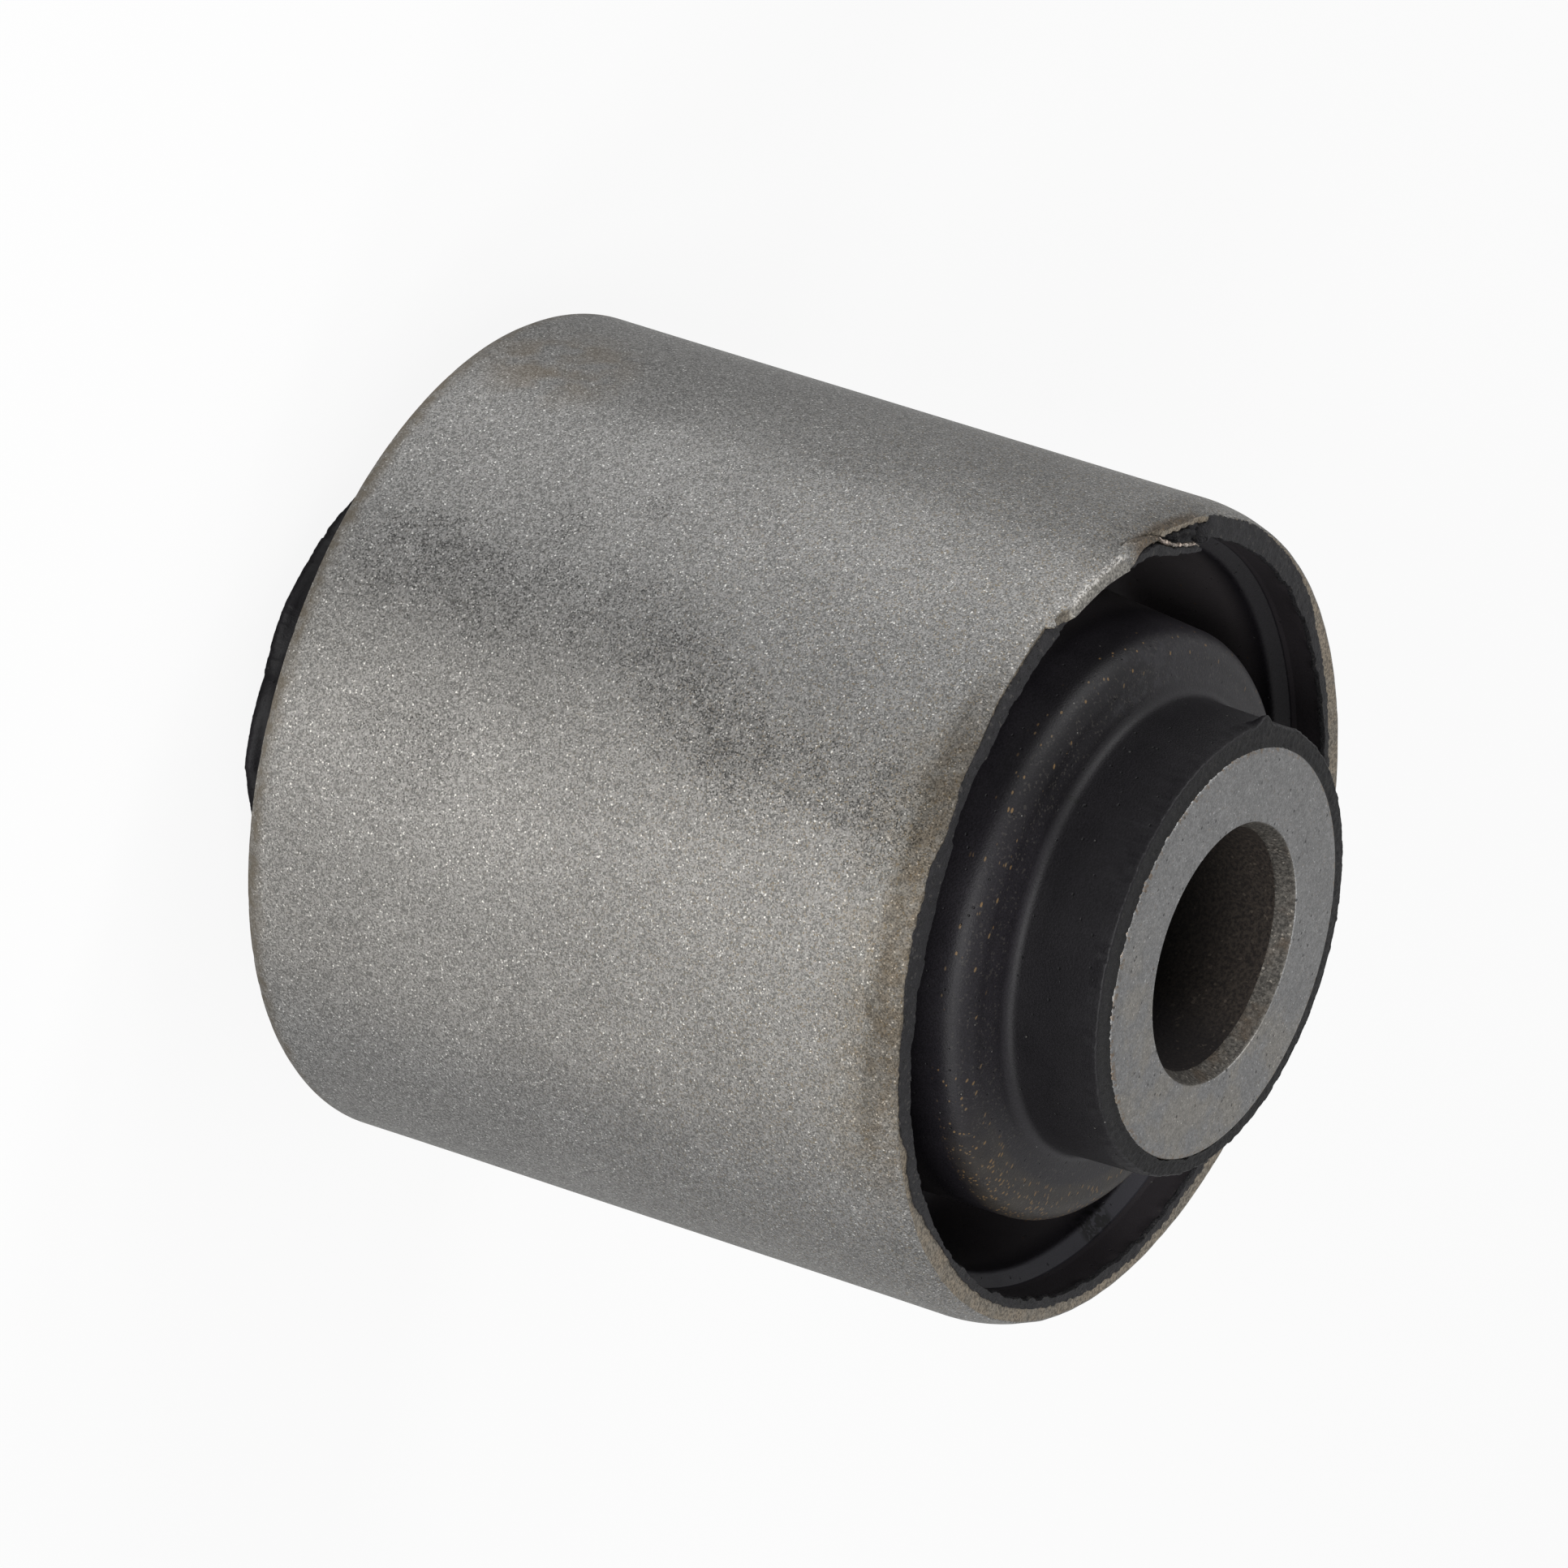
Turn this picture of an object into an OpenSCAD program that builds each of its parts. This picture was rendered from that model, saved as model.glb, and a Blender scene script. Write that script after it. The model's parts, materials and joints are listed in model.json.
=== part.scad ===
// Bonded rubber metal bush. A thick inner sleeve and a thin outer sleeve share one axis, and
// the rubber moulded between them holds both.
// The bush stands on the rear end face of its inner sleeve, with its front end up: +Z runs
// along the bore, and the origin is the middle of that rear end face.

/* [Outer sleeve] */
// Outside diameter of the outer sleeve
sleeve_d = 48; // [46:0.5:60]
// Length of the outer sleeve
sleeve_len = 43; // [34:0.5:52]
// Wall of the outer sleeve
sleeve_wall = 1.5; // [1.2:0.1:2.2]
// Length over which the front end of the outer sleeve turns in
front_lead = 2.8; // [1.5:0.1:4]
// How far the front end turns in, on the radius
front_drop = 0.6; // [0.2:0.05:0.9]
// Length over which the rear end of the outer sleeve turns in
rear_lead = 1.1; // [0.9:0.1:3]
// How far the rear end turns in, on the radius
rear_drop = 0.5; // [0.2:0.05:0.8]

/* [Inner sleeve] */
// Outside diameter of the inner sleeve
inner_d = 24; // [21:0.5:25]
// Length of the inner sleeve, which stands out of the outer sleeve by the same at both ends
inner_len = 56.6; // [54:0.2:66]
// Diameter of the bolt bore
bore_d = 14.2; // [10:0.1:16]
// Depth of the countersink at each mouth of the bore
mouth_depth = 1.1; // [0.4:0.1:2]
// Width of that countersink, on the radius
mouth_width = 0.55; // [0.3:0.05:1.2]
// Chamfer on the outer corners of the inner sleeve
corner_break = 0.3; // [0.1:0.05:0.6]

/* [Rubber on the inner sleeve] */
// Rubber over the part of the inner sleeve that stands out
neck_wall = 1.3; // [0.6:0.1:2]
// How far that rubber stops short of each end face of the inner sleeve
neck_relief = 0.2; // [0.1:0.1:1.5]
// Rounding at the end of the neck
neck_round = 0.4; // [0.1:0.1:0.6]
// Rubber around the inner sleeve inside the groove
bulge_wall = 5.3; // [3.6:0.1:6]
// Height of the shoulder at the neck above the end plane of the outer sleeve
shoulder_rise = 0.7; // [-1:0.1:1.5]
// How far the shoulder falls from the neck to its rounded edge
shoulder_fall = 0.3; // [0:0.1:1.5]
// Rounding at the outer edge of the shoulder
shoulder_round = 1.5; // [0.6:0.1:2]
// Fillet between the neck and the shoulder
neck_fillet = 0.7; // [0.3:0.1:1]

/* [Rubber in the outer sleeve] */
// Depth of the ring groove below the end plane of the outer sleeve
groove_depth = 12; // [8:0.5:15]
// How much the bulge widens from its shoulder to the foot of the groove, on the radius
groove_draft = 0.5; // [0:0.1:0.8]
// Rubber lining in the groove
lining_wall = 1.1; // [0.7:0.1:1.6]
// Rubber lining at the mouth, outside the ridge
mouth_wall = 0.4; // [0.2:0.05:0.6]
// Depth of the ridge below the end plane of the outer sleeve
ridge_depth = 2.4; // [1.5:0.1:5]
// How far the sloping face of the ridge falls from the mouth to the lining
ridge_fall = 0.55; // [0.2:0.05:1]

/* [Hidden] */
$fn = 128;
arc_steps = 8;
sleeve_r = sleeve_d / 2;
seat_r = sleeve_r - sleeve_wall;
inner_r = inner_d / 2;
bore_r = bore_d / 2;
mid_z = inner_len / 2;
half_sleeve = sleeve_len / 2;
half_inner = inner_len / 2;
neck_r = inner_r + neck_wall;
bulge_r = inner_r + bulge_wall;
lining_r = seat_r - lining_wall;
mouth_r = seat_r - mouth_wall;
steel_grey = [0.50, 0.50, 0.48];
face_grey = [0.60, 0.60, 0.59];
rubber_black = [0.10, 0.10, 0.11];

// Points of an arc about c, as [radius from the axis, height]
function arc(c, r, from, to) =
    [for (i = [0:arc_steps]) let (a = from + (to - from) * i / arc_steps) c + r * [cos(a), sin(a)]];

// Outside of a sleeve end that turns in by drop over lead, as an arc tangent to the wall.
// The points run from the wall to the end, which is at height end_z; up is 1 or -1.
function turned_end(lead, drop, end_z, up) =
    let (bend = (lead * lead + drop * drop) / (2 * drop))
    arc([sleeve_r - bend, end_z - up * lead], bend, 0, up * asin(lead / bend));

function reversed(points) = [for (i = [len(points) - 1:-1:0]) points[i]];

function upside_down(points) = reversed([for (p = points) [p[0], -p[1]]]);

module outer_sleeve() {
    color(steel_grey)
    translate([0, 0, mid_z])
    rotate_extrude()
    polygon(concat(
        [[seat_r, -half_sleeve]],
        reversed(turned_end(rear_lead, rear_drop, -half_sleeve, -1)),
        turned_end(front_lead, front_drop, half_sleeve, 1),
        [[seat_r, half_sleeve]]
    ));
}

// One end of the inner sleeve, from the bore out to its outside
function inner_end() = [
    [bore_r, half_inner - mouth_depth],
    [bore_r + mouth_width, half_inner],
    [inner_r - corner_break, half_inner],
    [inner_r, half_inner - corner_break]
];

module inner_sleeve() {
    color(face_grey)
    translate([0, 0, mid_z])
    rotate_extrude()
    polygon(concat(inner_end(), upside_down(inner_end())));
}

// One end of the rubber, from the inner sleeve out to the outer sleeve: the neck with its
// rounded end, the shoulder of the bulge, the ring groove, and the lining with its ridge
function rubber_end() =
    let (
        neck_top = half_inner - neck_relief,
        shoulder_z = half_sleeve + shoulder_rise,
        edge_z = shoulder_z - shoulder_fall,
        foot_r = bulge_r + groove_draft,
        foot_round = (lining_r - foot_r) / 2,
        foot_z = half_sleeve - groove_depth + foot_round,
        ridge_z = half_sleeve - ridge_depth
    )
    concat(
        [[inner_r, neck_top]],
        arc([neck_r - neck_round, neck_top - neck_round], neck_round, 90, 0),
        arc([neck_r + neck_fillet, shoulder_z + neck_fillet], neck_fillet, 180, 270),
        arc([bulge_r - shoulder_round, edge_z - shoulder_round], shoulder_round, 90, 0),
        arc([foot_r + foot_round, foot_z], foot_round, 180, 360),
        [[lining_r, ridge_z - ridge_fall], [mouth_r, ridge_z]],
        [[mouth_r, half_sleeve], [seat_r, half_sleeve]]
    );

module rubber_body() {
    color(rubber_black)
    translate([0, 0, mid_z])
    rotate_extrude()
    polygon(concat(rubber_end(), upside_down(rubber_end())));
}

outer_sleeve();
inner_sleeve();
rubber_body();
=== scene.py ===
"""Looks of the bonded rubber metal bush: meshes, materials, light and camera.

The bush stands on the rear end face of its inner sleeve, +Z runs along the bore, and the
front end that the photograph shows is up. Lengths are in millimetres and scaled to metres
when a mesh is made. Angles run round the bore from +X towards +Y, in degrees. A section is
a list of (radius, height above the middle of the bush), and a depth is measured from an
end plane of the outer sleeve into the bush.
"""

import json
import math

import bpy
from mathutils import Matrix, Vector, noise


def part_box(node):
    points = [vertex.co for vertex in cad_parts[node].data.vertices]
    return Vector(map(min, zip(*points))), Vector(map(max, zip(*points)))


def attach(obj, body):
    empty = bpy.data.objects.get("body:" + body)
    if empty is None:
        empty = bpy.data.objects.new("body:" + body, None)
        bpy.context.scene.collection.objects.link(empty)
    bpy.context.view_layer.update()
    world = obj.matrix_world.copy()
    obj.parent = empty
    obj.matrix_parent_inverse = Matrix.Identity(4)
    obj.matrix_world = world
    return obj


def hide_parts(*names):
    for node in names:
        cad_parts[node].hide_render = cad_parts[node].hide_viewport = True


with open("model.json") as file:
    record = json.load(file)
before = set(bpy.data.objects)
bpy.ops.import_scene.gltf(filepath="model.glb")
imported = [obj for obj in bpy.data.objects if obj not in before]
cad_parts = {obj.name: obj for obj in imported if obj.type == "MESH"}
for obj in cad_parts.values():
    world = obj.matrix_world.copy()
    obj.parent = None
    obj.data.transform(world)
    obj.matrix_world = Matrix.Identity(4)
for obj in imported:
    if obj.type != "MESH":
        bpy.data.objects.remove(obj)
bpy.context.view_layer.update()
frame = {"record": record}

MM = 0.001
SHARP_ANGLE = math.radians(40)
# Faces round each ring-shaped piece
SLEEVE_TURNS, BODY_TURNS, NECK_TURNS = 1200, 720, 1080
FRONT_RIM_TURNS, REAR_RIM_TURNS = 1440, 900

# Sizes that the frame gives
sleeve_low, sleeve_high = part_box("outer_sleeve")
inner_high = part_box("inner_sleeve")[1]
mounts = {m["name"]: m for m in frame["record"]["mounts"]}
SLEEVE_R = mounts["press_seat"]["dims"]["r_mm"]
BORE_R = mounts["bore"]["dims"]["r_mm"]
INNER_R = inner_high.x / MM
INNER_LEN = inner_high.z / MM
SLEEVE_LEN = (sleeve_high.z - sleeve_low.z) / MM
MID_Z = INNER_LEN / 2
HALF_SLEEVE = SLEEVE_LEN / 2
HALF_INNER = INNER_LEN / 2
FRONT_Z = MID_Z + HALF_SLEEVE
REAR_Z = MID_Z - HALF_SLEEVE

# Sizes of the section, within 0.3 mm of the solids' own
SLEEVE_WALL = 1.5
FRONT_LEAD, FRONT_DROP = 2.8, 0.6
REAR_LEAD, REAR_DROP = 1.1, 0.5
MOUTH_DEPTH, MOUTH_WIDTH = 1.1, 0.55
CORNER_BREAK = 0.3
NECK_RELIEF, REAR_NECK_RELIEF = 0.2, 0.15
BULGE_WALL = 5.3
SHOULDER_RISE, SHOULDER_FALL, SHOULDER_ROUND = 0.7, 0.3, 1.8
NECK_FILLET = 0.75
GROOVE_DEPTH, GROOVE_DRAFT = 12.0, 0.5
LINING_WALL, MOUTH_WALL = 1.25, 0.4
RIDGE_DEPTH, RIDGE_FALL = 2.4, 0.65
LEDGE_ROUND = 0.5
SEAT_R = SLEEVE_R - SLEEVE_WALL
BULGE_R = INNER_R + BULGE_WALL
LINING_R = SEAT_R - LINING_WALL
MOUTH_R = SEAT_R - MOUTH_WALL
# The rubber on this bush's inner sleeve is thinner at the front than at the rear
FRONT_NECK_R, REAR_NECK_R = 13.15, 13.6
# How much it widens down to its foot, and how far the front bulge leans along X and Y
NECK_TAPER = 0.13
LEAN = (0.4, 0.3)

# How this bush departs from a true turned shape, as (angle, value) round the front end.
# Where the cut edge of the rubber lining starts and ends, as radii
RIM_INNER = [(0, 22.0), (20, 22.1), (30, 21.95), (42, 22.1), (50, 21.9), (90, 21.9), (130, 21.65),
             (150, 21.75), (165, 21.95), (180, 22.15), (190.5, 22.2), (192.4, 21.5), (197, 21.45),
             (199.5, 21.62), (205, 22.05), (209.7, 22.3), (211.8, 22.3), (213, 22.7), (227.5, 22.7),
             (228.4, 22.35), (230, 22.4), (231.7, 22.68), (236, 22.8), (238.5, 22.7), (243.8, 22.77),
             (248.6, 22.75), (251, 22.5), (254, 22.62), (256, 22.82), (264, 22.78), (266.4, 22.7),
             (266.9, 22.3), (275, 22.24), (285, 22.11), (289, 22.3), (293, 21.97), (298, 22.19),
             (316, 22.02), (334, 22.02), (345, 21.9)]
RIM_OUTER = [(0, 22.54), (17, 22.63), (25, 22.7), (33, 22.75), (38, 22.86), (42, 22.65), (48, 22.62),
             (52, 22.38), (62, 22.45), (90, 22.5), (130, 22.2), (138, 22.4), (147, 22.52), (152, 22.9),
             (165, 23.19), (177, 23.37), (190.8, 23.45), (192.4, 21.75), (196, 21.8), (200.8, 22.0),
             (203, 22.4), (205, 22.75), (209.7, 22.75), (211.8, 22.5), (213, 23.0), (229, 23.3),
             (262, 23.4), (265, 23.35), (267, 23.2), (270, 23.4), (287, 23.4), (292, 23.3),
             (309, 23.25), (311, 23.1), (314, 22.7), (317, 22.95), (323, 22.95), (327, 22.57),
             (331, 22.38), (337, 22.15), (350, 22.41)]
# Notches in that edge, which deepen from one radius to another: beside the tear, as (angle,
# reach, depth), and past the flap, as (start, stop, depth)
NOTCH_RADII = (21.6, 21.9)
DEEP_NOTCH, SHALLOW_NOTCH = (191.9, 0.9, 1.7), (227.0, 231.0, 0.3)
# How the lining's mouth closes on that edge, as (share of the way, depth)
RIM_CURVE = [(0.3, 1.5), (0.65, 0.9), (0.92, 0.4)]
# How far the end of the steel lies below the end plane
END_DIP = [(0, 0), (190, 0.1), (192.2, 0.28), (194.6, 0.2), (196.6, 0.1), (197.4, 0), (204.6, 0.02),
           (205.9, 0.33), (207.6, 0.42), (209.7, 0.5), (211.4, 0.58), (212.8, 0.64), (213.4, 0),
           (228.3, 0), (229.2, 0.25), (231.0, 0.3), (231.6, 0.03), (232.2, 0.03), (232.7, 0.47),
           (238, 0.42), (243, 0.36), (246, 0.42), (249, 0.3), (254, 0.22), (258.5, 0.27), (261.5, 0.05),
           (265, 0.02), (267, 0.1), (271, 0.3), (275, 0.15), (278, 0.22), (287, 0.13), (292, 0)]
# Where the steel's end is rolled in as a bare flap, and where it is torn away
FLAP_FROM, FLAP_TO, FLAP_RISE = 213.2, 228.0, 0.25
FLAP_INNER = [(0, 22.7), (213, 22.35), (216.4, 22.5), (220, 22.65), (228, 22.75)]
TEAR_FROM, TEAR_TO = 192.3, 212.8
TEAR_INNER = [(0, 23.2), (196, 23.2), (197.2, 23.1), (200, 23.03), (203.2, 23.08), (205, 23.25),
              (213, 23.25)]
# The slit along the foot of the tear
SLIT_FROM, SLIT_TO, SLIT_R = 195.5, 202.6, 22.92
# The strip of steel peeled off the torn end, as (angle, outer radius, inner radius, depth)
STRIP = [(216, 23.4, 22.5, 0.0), (213.8, 23.62, 22.32, -0.12), (212.4, 23.68, 22.33, -0.13),
         (211.6, 23.72, 22.42, -0.13), (210.6, 23.72, 22.78, -0.12), (209.2, 23.62, 22.97, -0.1),
         (207.4, 23.48, 23.02, -0.08), (205.4, 23.22, 22.95, -0.05), (204.3, 22.98, 22.76, -0.05),
         (203.0, 22.72, 22.52, 0.0), (200.8, 22.36, 22.16, 0.02), (196.9, 22.06, 21.9, 0.0),
         (192.9, 21.96, 21.76, 0.05)]
# Up to this angle it shows its fresh side, and this many steps lie along it
STRIP_FRESH, STRIP_STEPS = 205.0, 180
# How the trimmed front end of the neck departs from round, as (angle, reach, amount): it is
# closer on the +X side, and there is a small torn-up lump beside the -X side
NECK_SHAPE = [(30, 80, -0.15), (197, 16, 0.1), (193.7, 4.5, 0.5)]
# At the rear: the mean outer radius of the lining's cut edge, and that of the neck's flared end
REAR_RIM_R = 22.75
REAR_FLARE = [(0, 13.9), (231, 13.95), (250, 14.02), (261, 14.17), (268, 14.0), (275.6, 13.75),
              (283.5, 13.9), (288, 14.15), (293, 14.15), (298, 14.3), (303.6, 14.03), (311, 13.8)]

# Camera, worked out from the photograph: its frame is square and this many pixels wide
PHOTO_PX = 1932
FOCAL_PX = 24000
SENSOR_MM = 36.0
# The sleeve's front end centre in the photograph, and its distance in sleeve radii
FRONT_PX = (1381.7, 1135.0)
FRONT_DISTANCE = 45.37
# Angle between the view and the bore, and the bore's slope in the picture
VIEW_TILT = math.radians(61.93)
AXIS_SLOPE = math.radians(17.6)

# Light: the world's colour and the even light it gives, how white the backdrops are where they
# are seen in a reflection, and the floor's own share of the white that the camera sees there
SKY = (0.8, 0.8, 0.8)
SOFT_LIGHT = 0.35
WORLD_GLOSS = 0.9
FLOOR_GLOSS = 0.1
FLOOR_GLOW = 0.88
# Upright softboxes round the bush, as (azimuth in degrees, power in watts)
SOFTBOXES = [(187, 1.9), (213, 0.95), (280, 2.7), (306, 1.75), (342, 1.4)]
SOFTBOX_AWAY, SOFTBOX_WIDE, SOFTBOX_HIGH = 0.8, 0.2, 0.3
SOFTBOX_ELEVATION = math.radians(26)
# The floor: half its side in metres, how far below the bush it lies, its own colour, and the
# colour that the camera sees
FLOOR_HALF, FLOOR_DROP = 1.5, 0.02
FLOOR_PAINT, FLOOR_WHITE = (0.6, 0.6, 0.6), (0.95, 0.95, 0.95)


def smooth(edge0, edge1, x):
    """0 below edge0, 1 above edge1, and an even step between them."""
    t = min(1.0, max(0.0, (x - edge0) / (edge1 - edge0)))
    return t * t * (3 - 2 * t)


def mixed(a, b, share):
    return a + (b - a) * share


def between(angle, start, stop, edge):
    """1 from start to stop and 0 elsewhere, with steps that are edge degrees wide."""
    return smooth(start - edge, start, angle) * (1 - smooth(stop, stop + edge, angle))


def near(angle, centre, reach):
    """1 at the centre angle, falling to 0 at reach degrees on both sides."""
    away = abs((angle - centre + 180) % 360 - 180)
    return 1 - smooth(0, reach, away)


def course(points, angle):
    """Value at an angle, on straight lines between (angle, value) points that close a ring."""
    ring = points + [(points[0][0] + 360, points[0][1])]
    for (a0, v0), (a1, v1) in zip(ring, ring[1:]):
        if a0 <= angle <= a1:
            return mixed(v0, v1, (angle - a0) / (a1 - a0))
    return points[0][1]


def ripple(angle, r, z, grain, seed=0):
    """Smooth noise from -1 to 1 at a place round the bore, whose lumps are grain wide."""
    a = math.radians(angle)
    place = Vector((r * math.cos(a), r * math.sin(a), z))
    return noise.noise(place / grain + Vector((17.3 * seed, 0, 5.1 * seed)))


def jag(angle, r, grain, seed=0):
    """Broken steps from -1 to 1 round an edge, each about grain long."""
    place = math.radians(angle) * r / grain + 40 * seed
    step = noise.cell(Vector((math.floor(place), 3.3 * seed, 0)))
    following = noise.cell(Vector((math.floor(place) + 1, 3.3 * seed, 0)))
    return 2 * mixed(step, following, smooth(0.7, 1.0, place % 1)) - 1


def arc(cr, cz, r, start, stop, steps):
    """Points of an arc in the section plane, as (radius from the bore axis, height)."""
    points = []
    for i in range(steps + 1):
        a = math.radians(start + (stop - start) * i / steps)
        points.append((cr + r * math.cos(a), cz + r * math.sin(a)))
    return points


def steps_between(p, q, count):
    """Count points on the straight line from p to q, without p and q themselves."""
    shares = [(i + 1) / (count + 1) for i in range(count)]
    return [(mixed(p[0], q[0], s), mixed(p[1], q[1], s)) for s in shares]


def upside_down(points):
    return [(r, -z) for r, z in points[::-1]]


def add_object(name, data):
    """A new object, linked to the scene."""
    added = bpy.data.objects.new(name, data)
    bpy.context.scene.collection.objects.link(added)
    return added


def put(tree, value, socket):
    """Link a node's output to a socket, or write a plain value there."""
    if isinstance(value, bpy.types.NodeSocket):
        tree.links.new(value, socket)
    elif isinstance(value, tuple) and len(socket.default_value) == 4:
        socket.default_value = (*value, 1)
    else:
        socket.default_value = value


def add_node(tree, kind, *values, **settings):
    """A new node with these settings, and these values or links at its first inputs."""
    node = tree.nodes.new("ShaderNode" + kind)
    for name, setting in settings.items():
        setattr(node, name, setting)
    for value, socket in zip(values, node.inputs):
        put(tree, value, socket)
    return node


def make_piece(name, verts, faces, materials, kinds):
    """A smooth-shaded mesh object, with edges over SHARP_ANGLE kept sharp."""
    mesh = bpy.data.meshes.new(name)
    mesh.from_pydata([(x * MM, y * MM, z * MM) for x, y, z in verts], [], faces)
    mesh.polygons.foreach_set("use_smooth", [True] * len(faces))
    for material in materials:
        mesh.materials.append(material)
    mesh.polygons.foreach_set("material_index", kinds)
    mesh.set_sharp_from_angle(angle=SHARP_ANGLE)
    mesh.update()
    return add_object(name, mesh)


def revolved(name, section, turns, materials, bands=((0, 0),)):
    """A closed ring mesh.

    section(angle) gives the closed outline at that angle, always with as many points. bands
    gives the outline's materials, as (first point, material number).
    """
    rows = [section(360.0 * i / turns) for i in range(turns)]
    count = len(rows[0])
    around = zip(rows[0], rows[0][1:] + rows[0][:1])
    clockwise = sum(p[0] * q[1] - q[0] * p[1] for p, q in around) < 0
    verts = []
    for i, row in enumerate(rows):
        a = 2 * math.pi * i / turns
        verts += [(r * math.cos(a), r * math.sin(a), z + MID_Z) for r, z in row]
    row_kinds = [[kind for first, kind in bands if first <= k][-1] for k in range(count)]
    faces = []
    for i in range(turns):
        here, there = i * count, (i + 1) % turns * count
        for k in range(count):
            n = (k + 1) % count
            quad = (here + k, there + k, there + n, here + n)
            faces.append(quad[::-1] if clockwise else quad)
    return make_piece(name, verts, faces, materials, row_kinds * turns)


# The outer sleeve

LIP_STEPS, FACE_STEPS, WALL_STEPS = 13, 8, 10
REAR_LIP_STEPS, REAR_FACE_STEPS = 8, 2
# Rounding of the steel's corners, and how far the middle of it lies inside both faces
STEEL_CORNER = 0.14
CORNER_MIDDLE = 0.3 * STEEL_CORNER


def lip_radius(depth, lead, drop):
    """Radius of a turned-in sleeve end at a depth."""
    bend = (lead * lead + drop * drop) / (2 * drop)
    inset = max(0.0, lead - depth)
    return SLEEVE_R - bend + math.sqrt(bend * bend - inset * inset)


def torn_away(angle):
    """1 where the inner part of the steel's end is missing."""
    return between(angle, TEAR_FROM - 2, TEAR_TO, 0.4)


def steel_inner(angle):
    """Inner radius of the steel's front end face."""
    inner = max(course(RIM_INNER, angle) + 0.2, min(SEAT_R, course(RIM_OUTER, angle) - 0.05))
    inner = mixed(inner, course(FLAP_INNER, angle), between(angle, FLAP_FROM, FLAP_TO, 0.6))
    torn_inner = course(TEAR_INNER, angle) + 0.06 * jag(angle, SLEEVE_R, 0.4, 4)
    return mixed(inner, torn_inner, torn_away(angle))


def steel_dip(angle):
    """Depth of the steel's front end, with its small nicks."""
    nicks = 0.03 * ripple(angle, SLEEVE_R, 0, 0.5) + 0.02 * jag(angle, SLEEVE_R, 0.8)
    torn = between(angle, TEAR_FROM - 1, TEAR_TO, 0.6)
    nicks += torn * (0.1 * jag(angle, SLEEVE_R, 0.45, 2) + 0.06 * ripple(angle, SLEEVE_R, 0, 0.25, 3))
    return course(END_DIP, angle) + max(0.0, nicks)


def sleeve_front(angle):
    """Front end of the outer sleeve, from its wall in to its seat, as (radius, depth)."""
    dip = steel_dip(angle)
    flap = between(angle, FLAP_FROM, FLAP_TO, 0.5)
    torn = torn_away(angle)
    points = []
    for i in range(LIP_STEPS + 1):
        depth = mixed(FRONT_LEAD, dip + STEEL_CORNER, i / LIP_STEPS)
        swell = 0.035 * ripple(angle, SLEEVE_R, depth, 1.6) * smooth(0, 1, i / LIP_STEPS)
        points.append((lip_radius(depth, FRONT_LEAD, FRONT_DROP) + swell, depth))
    edge_r = points[-1][0]
    points.append((edge_r - CORNER_MIDDLE, dip + CORNER_MIDDLE))
    points.append((edge_r - STEEL_CORNER, dip))
    inner = steel_inner(angle)
    for i in range(1, FACE_STEPS + 1):
        share = i / FACE_STEPS
        r = mixed(edge_r - STEEL_CORNER, inner, share)
        rise = flap * FLAP_RISE * math.sin(share * math.pi / 2)
        points.append((r, dip - rise + 0.02 * ripple(angle, r, 0, 0.3, 5)))
    # Inside the end the steel runs back to its seat, further in where it is torn
    end_r, end_depth = points[-1]
    points.append((end_r - 0.05, end_depth + 0.1))
    wall_r = max(SEAT_R, course(RIM_INNER, angle) + 0.2)
    points.append((mixed(wall_r, end_r - 0.1, torn), mixed(0.8, 1.4, torn)))
    points.append((SEAT_R, 1.9))
    return points


def sleeve_rear(angle):
    """Rear end of the outer sleeve, from its seat out to its wall, as (radius, depth)."""
    nicks = max(0.0, 0.03 * ripple(angle, SLEEVE_R, 9, 0.6, 7) + 0.02 * jag(angle, SLEEVE_R, 0.9, 7))
    edge_r = lip_radius(STEEL_CORNER, REAR_LEAD, REAR_DROP)
    seat, edge = (SEAT_R, nicks), (edge_r - STEEL_CORNER, nicks)
    points = [seat] + steps_between(seat, edge, REAR_FACE_STEPS) + [edge]
    points.append((edge_r - CORNER_MIDDLE, nicks + CORNER_MIDDLE))
    for i in range(REAR_LIP_STEPS + 1):
        depth = mixed(nicks + STEEL_CORNER, REAR_LEAD, i / REAR_LIP_STEPS)
        points.append((lip_radius(depth, REAR_LEAD, REAR_DROP), depth))
    return points


def sleeve_section(angle):
    rear = [(r, depth - HALF_SLEEVE) for r, depth in sleeve_rear(angle)]
    front = [(r, HALF_SLEEVE - depth) for r, depth in sleeve_front(angle)]
    wall = []
    for r, z in steps_between(rear[-1], front[0], WALL_STEPS):
        wall.append((r - 0.012 * (1 + ripple(angle, r, z, 9, 1)), z))
    return rear + wall + front


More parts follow.
